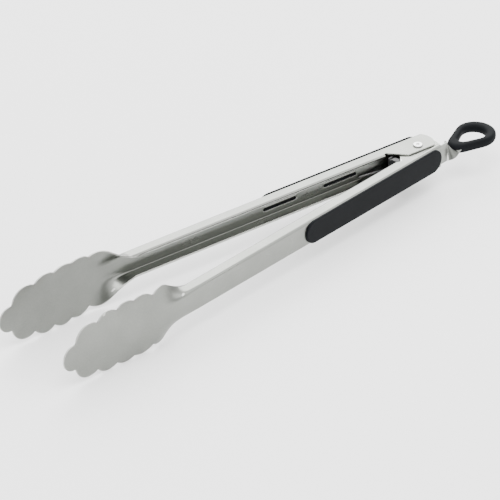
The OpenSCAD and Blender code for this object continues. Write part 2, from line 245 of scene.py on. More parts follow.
class TongsStageSettings(bpy.types.PropertyGroup):
    """Floor, lights and camera"""

    floor: colour("Floor", "Pale studio floor", "#FAFAFA")
    floor_shade: colour("Floor, shaded", "The floor's faintly darker patches", "#F6F6F6")
    floor_size: length("Floor size", "Middle of the floor to its edges", 6000.0)
    floor_drop: length("Floor drop", "Bottom of the tongs to the floor", 0.1)
    lens: FloatProperty(name="Lens", description="Focal length of the camera in mm", default=394.47)
    aim: FloatVectorProperty(name="Aim", description="Point that the camera looks at", subtype="TRANSLATION",
                             unit="LENGTH", default=(0.02089, 0.00994, 0.0198))
    distance: length("Camera distance", "Aim point to the camera", 3134.6855)
    azimuth: bearing("Camera azimuth", "Round the upright axis, from +X towards +Y", 47.21136)
    elevation: bearing("Camera elevation", "Above the horizon", 31.80579)
    roll: bearing("Camera roll", "Turn of the camera about its view", 0.11)


# ---------------------------------------------------------------- Mesh tools


def place(points, side):
    """Points given as (along the arm, outwards, up) put into the frame, for the front or the rear arm."""
    points = np.asarray(points, float)
    along, out, up = points[:, 0], points[:, 1], points[:, 2]
    cos, sin = math.cos(HALF_ANGLE), math.sin(HALF_ANGLE)
    x = PIN.x + along * cos - out * sin
    y = PIN.y + (along * sin + out * cos) * side
    return np.column_stack([x, y, PIN.z + up])


def ease(f):
    """Smooth step from 0 to 1."""
    f = np.clip(f, 0.0, 1.0)
    return f * f * (3 - 2 * f)


def loft(rings, closed=False, caps=True):
    """Faces over equal rings of points; closed joins the last ring to the first."""
    rings = [np.asarray(ring, float) for ring in rings]
    size, count = len(rings[0]), len(rings)
    faces = []
    for i in range(count if closed else count - 1):
        a, b = i * size, (i + 1) % count * size
        for k in range(size):
            after = (k + 1) % size
            faces.append((a + k, a + after, b + after, b + k))
    if caps and not closed:
        faces.append(tuple(range(size)))
        faces.append(tuple((count - 1) * size + k for k in reversed(range(size))))
    return np.concatenate(rings), faces


# Points closer than WELD become one, and edges shorter than SLIVER are dissolved
WELD, SLIVER = 0.5e-6, 0.2e-6


def joined(parts):
    """One list of points and one of faces from several lofts."""
    points, faces = [], []
    for more, more_faces in parts:
        base = len(points)
        points += [tuple(p) for p in more]
        faces += [tuple(k + base for k in face) for face in more_faces]
    return points, faces


def make_piece(name, points, faces, body, node, material, sharp=40.0, sheet_points=None):
    """A mesh object that stands for a CAD node, takes a material and rides on a body if one is given."""
    mesh = bpy.data.meshes.new(name)
    mesh.from_pydata([tuple(p) for p in points], [], faces)
    if sheet_points is not None:
        layer = mesh.attributes.new("sheet", "FLOAT_VECTOR", "POINT")
        layer.data.foreach_set("vector", np.asarray(sheet_points, np.float32).ravel())
    edit = bmesh.new()
    edit.from_mesh(mesh)
    bmesh.ops.remove_doubles(edit, verts=edit.verts, dist=WELD)
    bmesh.ops.dissolve_degenerate(edit, edges=edit.edges, dist=SLIVER)
    bmesh.ops.recalc_face_normals(edit, faces=edit.faces)
    edit.to_mesh(mesh)
    edit.free()
    mesh.shade_smooth()
    mesh.set_sharp_from_angle(angle=math.radians(sharp))
    mesh.materials.append(material)
    piece = bpy.data.objects.new(name, mesh)
    bpy.context.scene.collection.objects.link(piece)
    if body:
        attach(piece, body)
    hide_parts(node)
    return piece


def turned(profile, steps, centre):
    """A profile of (radius, height) points turned about the upright axis through centre."""
    rings = []
    for i in range(steps):
        angle = 2 * math.pi * i / steps
        rings.append([(centre.x + r * math.cos(angle), centre.y + r * math.sin(angle), centre.z + z)
                      for r, z in profile])
    return loft(rings, closed=True)


def arc(centre, radius, start, end, steps):
    """Points of an arc, angles in degrees."""
    return [(centre[0] + radius * math.cos(math.radians(a)), centre[1] + radius * math.sin(math.radians(a)))
            for a in np.linspace(start, end, steps + 1)]


def rounded_box(half_wide, half_high, radius, steps=4):
    """Outline of a rectangle with rounded corners, counter-clockwise."""
    outline = []
    for i, (sx, sy) in enumerate([(1, 1), (-1, 1), (-1, -1), (1, -1)]):
        centre = (sx * (half_wide - radius), sy * (half_high - radius))
        outline += arc(centre, radius, 90 * i, 90 * i + 90, steps)
    return outline


def stadium(long, radius, steps=20):
    """Outline of a slot shape: a straight stretch between two half circles."""
    return arc((long / 2, 0), radius, -90, 90, steps) + arc((-long / 2, 0), radius, 90, 270, steps)


# Rings that round off the end of a wire: how far past the end and how wide, in wire radii
WIRE_END = [(0.3, 0.8), (0.5, 0.4)]


def swept(path, radius, sides=14):
    """A round wire along a path, with softly rounded ends."""
    path = np.asarray(path, float)
    ways = np.gradient(path, axis=0)
    ways /= np.linalg.norm(ways, axis=1)[:, None]
    rings = []
    for i, (point, way) in enumerate(zip(path, ways)):
        side = np.cross((0, 0, 1), way)
        side /= np.linalg.norm(side)
        up = np.cross(way, side)
        angles = 2 * math.pi * np.arange(sides) / sides
        circle = np.outer(np.cos(angles), side) + np.outer(np.sin(angles), up)
        if i == 0:
            rings += [point + (circle * wide - way * past) * radius for past, wide in reversed(WIRE_END)]
        rings.append(point + circle * radius)
        if i == len(path) - 1:
            rings += [point + (circle * wide + way * past) * radius for past, wide in WIRE_END]
    return loft(rings)


# ---------------------------------------------------------------- The folded sheet of an arm

# Scallops of a head: distance back from the tip and half width at each valley, and how far
# the lobe in front of that valley bulges past its chord, in millimetres
VALLEYS = [(9.2, 8.2, 0.0), (25.7, 15.4, 5.1), (40.2, 17.3, 3.0), (52.9, 18.1, 2.1), (66.4, 16.2, 2.1)]
LOBE_STEPS = 14

# Places closer than this count as the same
TOUCH = 0.0001 * MM


def blank_sizes(arm, head, hinge):
    """Sizes worked out from the settings: where the folds of the blank lie, and the ears."""
    a = SimpleNamespace()
    a.half = arm.channel / 2
    a.sheet, a.edge = arm.sheet, arm.edge
    a.flat = a.half - arm.bend
    a.bend = arm.bend - arm.sheet / 2
    a.web = arm.web - arm.sheet / 2
    a.fold_out = arm.web - arm.bend
    a.flange_up = a.half - arm.sheet / 2
    a.lip_out = arm.web - arm.flange
    a.lip_bend = arm.lip_bend - arm.sheet / 2
    a.lip_fold = a.lip_out + arm.lip_bend
    a.neck_bend = arm.neck_bend
    a.v_bend = a.flat + math.pi / 2 * a.bend
    a.v_lip = a.v_bend + a.fold_out - a.lip_fold
    a.v_lip_end = a.v_lip + math.pi / 2 * a.lip_bend
    a.v_edge = a.v_lip_end + arm.lip - arm.sheet / 2 - a.lip_bend
    a.tip, a.tail = arm.reach, arm.tail
    a.head_start = arm.reach - head.head
    a.neck, a.shoulder = head.neck, head.shoulder
    a.dish, a.dish_length, a.widest = head.dish, head.dish_length, head.widest
    a.tip_out, a.lean, a.curl = head.tip, head.lean, head.curl
    a.notch_end, a.notch_point = hinge.notch_end, hinge.notch_point
    a.nose, a.nose_at = hinge.nose, (hinge.nose - hinge.end, hinge.nose_rise)
    a.ear_end, a.ear_reach, a.barb = hinge.end, hinge.reach, a.lip_out + hinge.barb
    a.drop = arm.sheet + hinge.gap
    a.step, a.heel_wall = hinge.step, a.fold_out + hinge.heel_gap
    a.step_corner = hinge.notch_point + hinge.step_room * math.sqrt(2)
    return a


def head_edge(a):
    """Half width of the head against distance from the pin, from the shoulder to the tip."""
    valley = [np.array((a.tip - back * MM, wide * MM)) for back, wide, _ in VALLEYS]
    first = valley[-1]
    shoulder_at = a.head_start + a.neck
    edge = []
    for f in np.linspace(0, 1, LOBE_STEPS, endpoint=False):
        edge.append((shoulder_at + (first[0] - shoulder_at) * f,
                     a.shoulder + (first[1] - a.shoulder) * f * f))
    for k in range(len(VALLEYS) - 1, 0, -1):
        start, end, rise = valley[k], valley[k - 1], VALLEYS[k][2] * MM
        half = np.linalg.norm(end - start) / 2
        radius = (half * half + rise * rise) / (2 * rise)
        way = (end - start) / (2 * half)
        side = np.array((-way[1], way[0]))
        centre = (start + end) / 2 - side * (radius - rise)
        span = 2 * math.atan2(half, radius - rise)
        for w in np.linspace(-span / 2, span / 2, LOBE_STEPS, endpoint=False):
            edge.append(tuple(centre + radius * (way * math.sin(w) + side * math.cos(w))))
    back, wide = VALLEYS[0][0] * MM, VALLEYS[0][1] * MM
    radius = (wide * wide + back * back) / (2 * back)
    turn = math.pi - math.asin(wide / radius) if back > radius else math.asin(wide / radius)
    for w in np.linspace(turn, 0, LOBE_STEPS):
        edge.append((a.tip - radius + radius * math.cos(w), radius * math.sin(w)))
    return edge


# Stop heel of an inner ear: how far inside the end of the other web it starts and ends, and how
# many degrees past it the round of the nose takes over
HEEL_START, HEEL_END, HEEL_TURN = 3 * MM, 0.5 * MM, 4


def ear_edge(a, inner):
    """Outline of an ear from the barb of the notch to the end of the web, as (along, outwards)."""
    bottom = -a.ear_reach
    edge = [(a.notch_end, a.lip_fold), (a.notch_point + a.barb, a.barb), (a.notch_point + bottom, bottom)]
    nose_x, nose_t = a.nose_at
    if inner:
        # The heel is given along the other arm, which stands open by twice the half angle
        opening = 2 * HALF_ANGLE
        heel_from, heel_to = -a.tail + HEEL_START, -a.tail + HEEL_END
        for along, out in [(heel_from, a.heel_wall), (heel_to, a.heel_wall), (heel_to, nose_t)]:
            edge.append((along * math.cos(opening) - out * math.sin(opening),
                         -along * math.sin(opening) - out * math.cos(opening)))
        start = 360 - math.degrees(math.acos((edge[-1][0] - nose_x) / a.nose)) - HEEL_TURN
    else:
        start = 180 - math.degrees(math.asin((bottom - nose_t) / a.nose))
    end = 180 - math.degrees(math.asin((a.fold_out - nose_t) / a.nose))
    edge += arc(a.nose_at, a.nose, start, end, 22)
    return edge


def blank_outline(a, inner):
    """Upper half of the flat blank's outline, from the tip to the end of the web."""
    outline = list(reversed(head_edge(a)))
    for f in np.linspace(1, 0, 16)[1:]:
        wide = a.v_edge + (a.shoulder - a.v_edge) * ease(f)
        outline.append((a.head_start + a.neck * f, float(wide)))
    for f in np.linspace(1, 0, 110)[1:]:
        outline.append((a.notch_end + (a.head_start - a.notch_end) * f, a.v_edge))
    for along, out in ear_edge(a, inner):
        outline.append((along, a.v_bend + a.fold_out - out))
    outline.append((-a.tail, a.flat))
    return outline


def refined(loop, step):
    """The closed loop with its long stretches cut into pieces no longer than step."""
    out = []
    for here, after in zip(loop, loop[1:] + loop[:1]):
        count = max(1, math.ceil(math.dist(here, after) / step))
        for i in range(count):
            f = i / count
            out.append((here[0] + (after[0] - here[0]) * f, here[1] + (after[1] - here[1]) * f))
    return out


def along_neck(s, a, lead, spread):
    """How far a change has gone at s; it starts lead before the head and takes spread."""
    return ease((s - a.head_start + lead) / spread)


def folded(points, a, inner):
    """Middle surface of the sheet at points (along, across) of the blank, as (along, outwards, up)."""
    s = points[:, 0]
    sign = np.where(points[:, 1] < 0, -1.0, 1.0)
    v = np.abs(points[:, 1])
    bend = a.bend + a.neck_bend * along_neck(s, a, 8 * MM, a.neck + 8 * MM)
    flat, fold_out = a.flange_up - bend, a.web - bend
    v_bend = flat + math.pi / 2 * bend
    turn = np.clip((v - flat) / bend, 0, math.pi / 2)
    out = np.where(v < v_bend, fold_out + bend * np.cos(turn), fold_out - (v - v_bend))
    up = np.where(v < flat, v, flat + bend * np.sin(turn))
    has_lip = s >= a.notch_end - TOUCH
    full = math.pi / 2 * (1 - along_neck(s, a, 12 * MM, 16 * MM))
    roll = np.clip((v - a.v_lip) / a.lip_bend, 0, full)
    rest = np.maximum(v - a.v_lip - a.lip_bend * full, 0)
    rolling = has_lip & (v > a.v_lip)
    start_out = fold_out - (a.v_lip - v_bend)
    out = np.where(rolling, start_out - a.lip_bend * np.sin(roll) - rest * np.cos(full), out)
    up = np.where(rolling, a.flange_up - a.lip_bend * (1 - np.cos(roll)) - rest * np.sin(full), up)
    if inner:
        past_corner = (a.step_corner + a.sheet * math.sqrt(2) - s - out) / math.sqrt(2)
        into = np.minimum(a.step + a.sheet - out, past_corner)
        up = np.where(~has_lip & (v > v_bend), up - a.drop * ease(into / a.sheet), up)
    back = a.tip - s
    edge_out = a.tip_out + a.lean * back + a.curl * back * back - a.sheet / 2
    dish = a.dish * ease(back / a.dish_length)
    head_out = edge_out + dish * (1 - (v / a.widest) ** 2)
    out = out + (head_out - out) * along_neck(s, a, 6 * MM, a.neck + 15 * MM)
    up = up + (v - up) * along_neck(s, a, 4 * MM, a.neck + 2 * MM)
    return np.column_stack([s, out, up * sign])


def sheet_normals(points, a, inner):
    """Unit normals of the middle surface, away from the inside of the channel."""
    step = 0.02 * MM
    ahead = np.where(points[:, 0] >= a.notch_end - TOUCH, step, -step)
    moved = points + np.column_stack([ahead, np.zeros(len(points))])
    along = (folded(moved, a, inner) - folded(points, a, inner)) / ahead[:, None]
    shift = np.array((0.0, step))
    across = folded(points + shift, a, inner) - folded(points - shift, a, inner)
    normals = np.cross(across, along)
    return normals / np.linalg.norm(normals, axis=1)[:, None]


def inside(points, loop):
    """Which points lie inside a closed loop."""
    loop = np.asarray(loop)
    after = np.roll(loop, -1, axis=0)
    x, y = points[:, 0, None], points[:, 1, None]
    crosses = (loop[:, 1] > y) != (after[:, 1] > y)
    rise = np.where(after[:, 1] == loop[:, 1], 1.0, after[:, 1] - loop[:, 1])
    at = (after[:, 0] - loop[:, 0]) * (y - loop[:, 1]) / rise + loop[:, 0]
    return np.sum(crosses & (x < at), axis=1) % 2 == 1


def clearance(points, loops):
    """Distance of each point to the nearest loop."""
    best = np.full(len(points), 1e9)
    for loop in loops:
        start = np.asarray(loop)
        way = np.roll(start, -1, axis=0) - start
        size = np.maximum(np.sum(way * way, axis=1), 1e-18)
        to = points[:, None, :] - start[None]
        f = np.clip(np.sum(to * way, axis=2) / size, 0, 1)
        best = np.minimum(best, np.min(np.linalg.norm(to - f[..., None] * way, axis=2), axis=1))
    return best


def grid(along, across):
    """Points of a grid, both ways from the middle of the blank."""
    across = np.unique(np.concatenate([-np.asarray(across), across]))
    s, v = np.meshgrid(along, across, indexing="ij")
    return np.column_stack([s.ravel(), v.ravel()])


# Longest edges along the outline and round the holes, and more than half the blank's width
OUTLINE_STEP, HOLE_STEP = 1.1 * MM, 0.6 * MM
BLANK_HALF = 27 * MM


def blank_points(a):
    """Grids over the ears, the channel, the neck and the head, and their gap to the outline.

    The points lie close together where the sheet bends, and those off the blank are left out later.
    """
    web = np.linspace(0, a.flat, 6)
    bend = np.linspace(a.flat, a.v_bend, 7)[1:]
    flange = np.linspace(a.v_bend, a.v_lip, 6)[1:]
    lip = np.linspace(a.v_lip, a.v_lip_end, 6)[1:]
    past_lip = np.arange(a.v_lip_end + 0.4 * MM, BLANK_HALF, 0.8 * MM)
    channel = np.concatenate([web, bend, flange, lip, past_lip])
    ear = np.concatenate([web, bend, np.arange(a.v_bend + 0.3 * MM, BLANK_HALF, 0.45 * MM)])
    head = np.arange(0, BLANK_HALF, 0.9 * MM)
    neck_end = a.head_start + a.neck
    return [
        (grid(np.arange(-a.ear_end, a.notch_end, 0.5 * MM), ear), 0.2 * MM),
        (grid(np.arange(a.notch_end + 0.5 * MM, a.head_start, 2.2 * MM), channel), 0.22 * MM),
        (grid(np.arange(a.head_start, neck_end + 4 * MM, 0.8 * MM), channel), 0.3 * MM),
        (grid(np.arange(neck_end + 4.6 * MM, a.tip, 0.9 * MM), head), 0.35 * MM),
    ]


def cut_blank(a, inner, holes):
    """Triangles of the flat blank between its outline and its holes."""
    upper = blank_outline(a, inner)
    lower = [(s, -v) for s, v in reversed(upper) if v > TOUCH]
    loops = [refined(upper + lower, OUTLINE_STEP)] + [refined(hole, HOLE_STEP) for hole in holes]
    points = []
    for zone, gap in blank_points(a):
        keep = inside(zone, loops[0])
        zone = zone[keep]
        points.append(zone[clearance(zone, loops) > gap])
    edges, base = [], 0
    for loop in loops:
        count = len(loop)
        edges += [(base + i, base + (i + 1) % count) for i in range(count)]
        base += count
    flat = [Vector(p) / MM for loop in loops for p in loop]
    flat += [Vector(p) / MM for p in np.concatenate(points)]
    made = delaunay_2d_cdt(flat, edges, [], 1, 1e-5)
    points = np.array([tuple(p) for p in made[0]]) * MM
    triangles = np.array([tuple(t) for t in made[2]])
    middle = points[triangles].mean(axis=1)
    keep = inside(middle, loops[0])
    for hole in loops[1:]:
        keep &= ~inside(middle, hole)
    triangles = triangles[keep]
    corners = points[triangles]
    one, two = corners[:, 1] - corners[:, 0], corners[:, 2] - corners[:, 0]
    flip = one[:, 0] * two[:, 1] - one[:, 1] * two[:, 0] < 0
    triangles[flip] = triangles[flip][:, ::-1]
    used, triangles = np.unique(triangles, return_inverse=True)
    return points[used], triangles.reshape(-1, 3)


# The most that a sharp corner of the rim moves in, for one unit of inset
MITRE = 1.4


def rim_of(points, triangles):
    """Edges along the rim of the blank, and how far each rim point moves in for one unit of inset."""
    ways = {}
    for tri in triangles:
        for k in range(3):
            ways[(tri[k], tri[(k + 1) % 3])] = True
    rim = [(i, j) for i, j in ways if (j, i) not in ways]
    inward = np.zeros((len(points), 2))
    count = np.zeros(len(points))
    for i, j in rim:
        way = points[j] - points[i]
        normal = np.array((-way[1], way[0])) / np.linalg.norm(way)
        for k in (i, j):
            inward[k] += normal
            count[k] += 1
    size = np.linalg.norm(inward, axis=1)
    on_rim = count > 0
    inward[on_rim] *= (np.minimum(2 / size[on_rim], MITRE) / size[on_rim])[:, None]
    return rim, inward, on_rim


def folded_sheet(a, inner, holes):
    """Points, faces and blank places of a folded sheet with its thickness and broken edges."""
    blank, triangles = cut_blank(a, inner, holes)
    rim, inward, on_rim = rim_of(blank, triangles)
    pulled = blank + inward * a.edge
    normals = sheet_normals(blank, a, inner)
    surface, middle = folded(pulled, a, inner), folded(blank, a, inner)
    half = a.sheet / 2
    count = len(blank)
    rim_ids = {int(k): i for i, k in enumerate(np.nonzero(on_rim)[0])}
    chosen = np.nonzero(on_rim)[0]
    low = middle[chosen] + normals[chosen] * (half - a.edge)
    high = middle[chosen] - normals[chosen] * (half - a.edge)
    points = np.concatenate([surface + normals * half, surface - normals * half, low, high])
    faces = [tuple(int(k) for k in t) for t in triangles]
    faces += [tuple(int(k) + count for k in reversed(t)) for t in triangles]
    one, two = 2 * count, 2 * count + len(chosen)
    for i, j in rim:
        p, q = rim_ids[i], rim_ids[j]
        faces.append((i, j, one + q, one + p))
        faces.append((one + p, one + q, two + q, two + p))
        faces.append((two + p, two + q, count + j, count + i))
    layer = np.concatenate([np.column_stack([blank, np.full(count, side)]) for side in (1, -1)]
                           + [np.column_stack([blank[chosen], np.zeros(len(chosen))])] * 2)
    return points, [tuple(int(k) for k in face) for face in faces], layer


# ---------------------------------------------------------------- Materials


def linear(value):
    """An sRGB hex value as a linear colour."""
    parts = [int(value[i:i + 2], 16) / 255 for i in (1, 3, 5)]
    return [c / 12.92 if c <= 0.04045 else ((c + 0.055) / 1.055) ** 2.4 for c in parts] + [1.0]


def connect(tree, node, inputs):
    """Gives a node its inputs; each is a value, or a socket that is linked to it."""
    for name, value in inputs.items():
        if isinstance(value, bpy.types.NodeSocket):
            tree.links.new(value, node.inputs[name])
        else:
            node.inputs[name].default_value = value


def add(tree, kind, settings=None, inputs=None):
    """Adds a node with its settings and its inputs."""
    node = tree.nodes.new(kind)
    for name, value in (settings or {}).items():
        setattr(node, name, value)
    connect(tree, node, inputs or {})
    return node


def new_material(name):
    """An empty node material and its Principled shader."""
    material = bpy.data.materials.new(name)
    material.use_nodes = True
    tree = material.node_tree
    return material, tree, tree.nodes["Principled BSDF"]


def satin_stainless(name, finish):
    """Stainless sheet, satin brushed along the arm before folding.

    Fine lengthwise lines carry the light along the channel. The heads are tumbled after
    pressing, so their grain gives way to a soft mottled satin; edges and bends get a painted highlight, with
    a little edge wear.
    """
    material, tree, shader = new_material(name)
    place_in = add(tree, "ShaderNodeAttribute", {"attribute_name": "sheet"}).outputs["Vector"]
    axes = add(tree, "ShaderNodeSeparateXYZ", inputs={"Vector": place_in})
    # Grain lines are 0.05 mm apart in life; 0.5 mm is the finest that shows
    line_gap, line_long = 0.5 * MM, 40 * MM
    grain_place = add(tree, "ShaderNodeMapping", inputs={
        "Vector": place_in, "Scale": (1 / line_long, 1 / line_gap, 1 / line_gap)}).outputs["Vector"]
    grain = add(tree, "ShaderNodeTexNoise", inputs={
        "Vector": grain_place, "Scale": 1.0, "Detail": 4.0, "Roughness": 0.65}).outputs["Fac"]
    tumble = add(tree, "ShaderNodeTexNoise", inputs={
        "Vector": place_in, "Scale": 1 / (1.1 * MM), "Detail": 3.0, "Roughness": 0.6}).outputs["Fac"]
    cloud = add(tree, "ShaderNodeTexNoise", inputs={
        "Vector": place_in, "Scale": 1 / (14 * MM), "Detail": 3.0, "Roughness": 0.55}).outputs["Fac"]
    on_head = add(tree, "ShaderNodeMapRange", {"interpolation_type": "SMOOTHSTEP"}, {
        "Value": axes.outputs["X"], "From Min": 205 * MM, "From Max": 240 * MM}).outputs["Result"]
    texture = add(tree, "ShaderNodeMix", {"data_type": "FLOAT"}, {
        "Factor": on_head, "A": grain, "B": tumble}).outputs["Result"]
    blend = add(tree, "ShaderNodeMath", {"operation": "MULTIPLY"}, {0: cloud, 1: 0.6}).outputs["Value"]
    blend = add(tree, "ShaderNodeMath", {"operation": "MULTIPLY_ADD", "use_clamp": True}, {
        0: texture, 1: 0.55, 2: blend}).outputs["Value"]
    base = add(tree, "ShaderNodeMix", {"data_type": "RGBA"}, {
        "Factor": blend, "A": linear(finish.steel_dark), "B": linear(finish.steel)}).outputs[2]
    # Painted highlight: pointiness brightens convex edges and bends, standing in for the light lines they
    # catch, with a little edge wear
    edge_highlight_and_wear_mask = add(tree, "ShaderNodeMapRange", {"interpolation_type": "SMOOTHSTEP"}, {
        "Value": add(tree, "ShaderNodeNewGeometry").outputs["Pointiness"],
        "From Min": 0.515, "From Max": 0.58}).outputs["Result"]
    steel_with_edge_highlight = add(tree, "ShaderNodeMix", {"data_type": "RGBA"}, {
        "Factor": edge_highlight_and_wear_mask, "A": base, "B": linear(finish.steel_edge_highlight)}).outputs[2]
    rough = add(tree, "ShaderNodeMapRange", inputs={
        "Value": blend, "From Min": 0.25, "From Max": 0.85,
        "To Min": 0.34, "To Max": 0.25}).outputs["Result"]
    rough = add(tree, "ShaderNodeMath", {"operation": "MULTIPLY_ADD"}, {
        0: on_head, 1: 0.1, 2: rough}).outputs["Value"]
    rough = add(tree, "ShaderNodeMath", {"operation": "MULTIPLY_ADD", "use_clamp": True}, {
        0: edge_highlight_and_wear_mask, 1: -0.1, 2: rough}).outputs["Value"]
    # Pressing leaves the sheet faintly wavy, which mottles what it reflects
    wavy = add(tree, "ShaderNodeBump", inputs={
        "Height": cloud, "Strength": 0.5, "Distance": 0.5 * MM}).outputs["Normal"]
    bump = add(tree, "ShaderNodeBump", inputs={
        "Height": texture, "Strength": 0.35, "Distance": 0.02 * MM, "Normal": wavy}).outputs["Normal"]
    connect(tree, shader, {"Base Color": steel_with_edge_highlight, "Roughness": rough, "Normal": bump, "Metallic": 1.0})
    return material


def turned_metal(name, low, high, grain_gap, roughness):
    """Bare metal with fine rings or scratches from turning or drawing, brighter on its ridges.

    The marks lie level and are four times as long as they are high.
    """
    material, tree, shader = new_material(name)
    place_in = add(tree, "ShaderNodeTexCoord").outputs["Object"]
    level = 0.25 / grain_gap
    marks = add(tree, "ShaderNodeMapping", inputs={
        "Vector": place_in, "Scale": (level, level, 1 / grain_gap)}).outputs["Vector"]
    lines = add(tree, "ShaderNodeTexNoise", inputs={
        "Vector": marks, "Scale": 1.0, "Detail": 3.0}).outputs["Fac"]
    base = add(tree, "ShaderNodeMix", {"data_type": "RGBA"}, {
        "Factor": lines, "A": linear(low), "B": linear(high)}).outputs[2]
    rough = add(tree, "ShaderNodeMapRange", inputs={
        "Value": lines, "To Min": roughness + 0.08, "To Max": roughness - 0.08}).outputs["Result"]
    bump = add(tree, "ShaderNodeBump", inputs={
        "Height": lines, "Strength": 0.3, "Distance": 0.01 * MM}).outputs["Normal"]
    connect(tree, shader, {"Base Color": base, "Roughness": rough, "Normal": bump, "Metallic": 1.0})
    return material


def moulded_rubber(name, finish, grit, roughness):
    """Thermoplastic rubber from a blasted mould: matt, near black with a cool cast.

    A fine grit texture kills the gloss, and rounded crests are painted a little lighter, a painted
    highlight.
    """
    material, tree, shader = new_material(name)
    place_in = add(tree, "ShaderNodeTexCoord").outputs["Object"]
    grains = add(tree, "ShaderNodeTexNoise", inputs={
        "Vector": place_in, "Scale": 1 / grit, "Detail": 4.0, "Roughness": 0.7}).outputs["Fac"]
    cloud = add(tree, "ShaderNodeTexNoise", inputs={
        "Vector": place_in, "Scale": 1 / (11 * MM), "Detail": 2.0}).outputs["Fac"]
    # Painted highlight: pointiness lights up the rubber's rounded crests
    crest_highlight_mask = add(tree, "ShaderNodeMapRange", {"interpolation_type": "SMOOTHSTEP"}, {
        "Value": add(tree, "ShaderNodeNewGeometry").outputs["Pointiness"],
        "From Min": 0.5, "From Max": 0.56}).outputs["Result"]
    shade = add(tree, "ShaderNodeMath", {"operation": "MULTIPLY_ADD"}, {
        0: cloud, 1: 0.55, 2: -0.1}).outputs["Value"]
    shade = add(tree, "ShaderNodeMath", {"operation": "MULTIPLY_ADD", "use_clamp": True}, {
        0: crest_highlight_mask, 1: 0.35, 2: shade}).outputs["Value"]
    base = add(tree, "ShaderNodeMix", {"data_type": "RGBA"}, {
        # The lighter rubber carries the random mottle and the painted crest highlight
        "Factor": shade, "A": linear(finish.rubber), "B": linear(finish.rubber_mottle_and_crest_highlight)}).outputs[2]
    rough = add(tree, "ShaderNodeMapRange", inputs={
        "Value": grains, "To Min": roughness + 0.08, "To Max": roughness - 0.08}).outputs["Result"]
    bump = add(tree, "ShaderNodeBump", inputs={
        "Height": grains, "Strength": 0.45, "Distance": 0.05 * MM}).outputs["Normal"]
    connect(tree, shader, {"Base Color": base, "Roughness": rough, "Normal": bump,
                           "IOR": 1.5, "Specular IOR Level": 0.08})
    return material


def moulded_nylon(name, finish):
    """Glass filled nylon: black, low sheen, with faint flow marks."""
    material, tree, shader = new_material(name)
    place_in = add(tree, "ShaderNodeTexCoord").outputs["Object"]
    flow = add(tree, "ShaderNodeTexNoise", inputs={
        "Vector": place_in, "Scale": 1 / (0.8 * MM), "Detail": 3.0, "Distortion": 0.6}).outputs["Fac"]
    base = add(tree, "ShaderNodeMix", {"data_type": "RGBA"}, {
        "Factor": flow, "A": linear(finish.nylon), "B": linear(finish.rubber)}).outputs[2]
    rough = add(tree, "ShaderNodeMapRange", inputs={
        "Value": flow, "To Min": 0.42, "To Max": 0.58}).outputs["Result"]
    bump = add(tree, "ShaderNodeBump", inputs={
        "Height": flow, "Strength": 0.3, "Distance": 0.03 * MM}).outputs["Normal"]
    connect(tree, shader, {"Base Color": base, "Roughness": rough, "Normal": bump, "IOR": 1.53})
    return material


def studio_floor(name, stage):
    """Matt white studio board with the faintest unevenness."""
    material, tree, shader = new_material(name)
    place_in = add(tree, "ShaderNodeTexCoord").outputs["Object"]
    uneven = add(tree, "ShaderNodeTexNoise", inputs={"Vector": place_in, "Scale": 3.0}).outputs["Fac"]
    base = add(tree, "ShaderNodeMix", {"data_type": "RGBA"}, {
        "Factor": uneven, "A": linear(stage.floor), "B": linear(stage.floor_shade)}).outputs[2]
    connect(tree, shader, {"Base Color": base, "Roughness": 0.9, "Specular IOR Level": 0.1})
    return material


# ---------------------------------------------------------------- Operators


HOLE_SIDES = 48


class TONGS_OT_arms(bpy.types.Operator):
    """Build both folded steel arms with their scalloped heads"""

    bl_idname = "tongs.arms"
    bl_label = "Arms"

    def execute(self, context):
        scene = context.scene
        hinge, grip = scene.tongs_hinge, scene.tongs_grip
        a = blank_sizes(scene.tongs_arm, scene.tongs_head, hinge)
        steel = satin_stainless("satin_stainless_steel", scene.tongs_finish)
        hole_at = a.v_bend + a.fold_out
        hole_r = hinge.pin / 2 + hinge.clearance
        holes = [arc((0, side * hole_at), hole_r, 0, 360, HOLE_SIDES)[:-1] for side in (1, -1)]
        straight = grip.slot_length - grip.slot_height
        for middle in (grip.slot_first, grip.slot_first + grip.slot_pitch):
            for row in (-grip.slot_row, grip.slot_row):
                slot = stadium(straight, grip.slot_height / 2, 8)
                holes.append([(middle + x, row + y) for x, y in slot])
        for body, side, inner in (("front", FRONT, True), ("rear", REAR, False)):
            points, faces, layer = folded_sheet(a, inner, holes)
            make_piece(body + "_arm_sheet", place(points, side), faces, body, body + "_arm",
                       steel, sharp=50, sheet_points=layer)
        return {"FINISHED"}


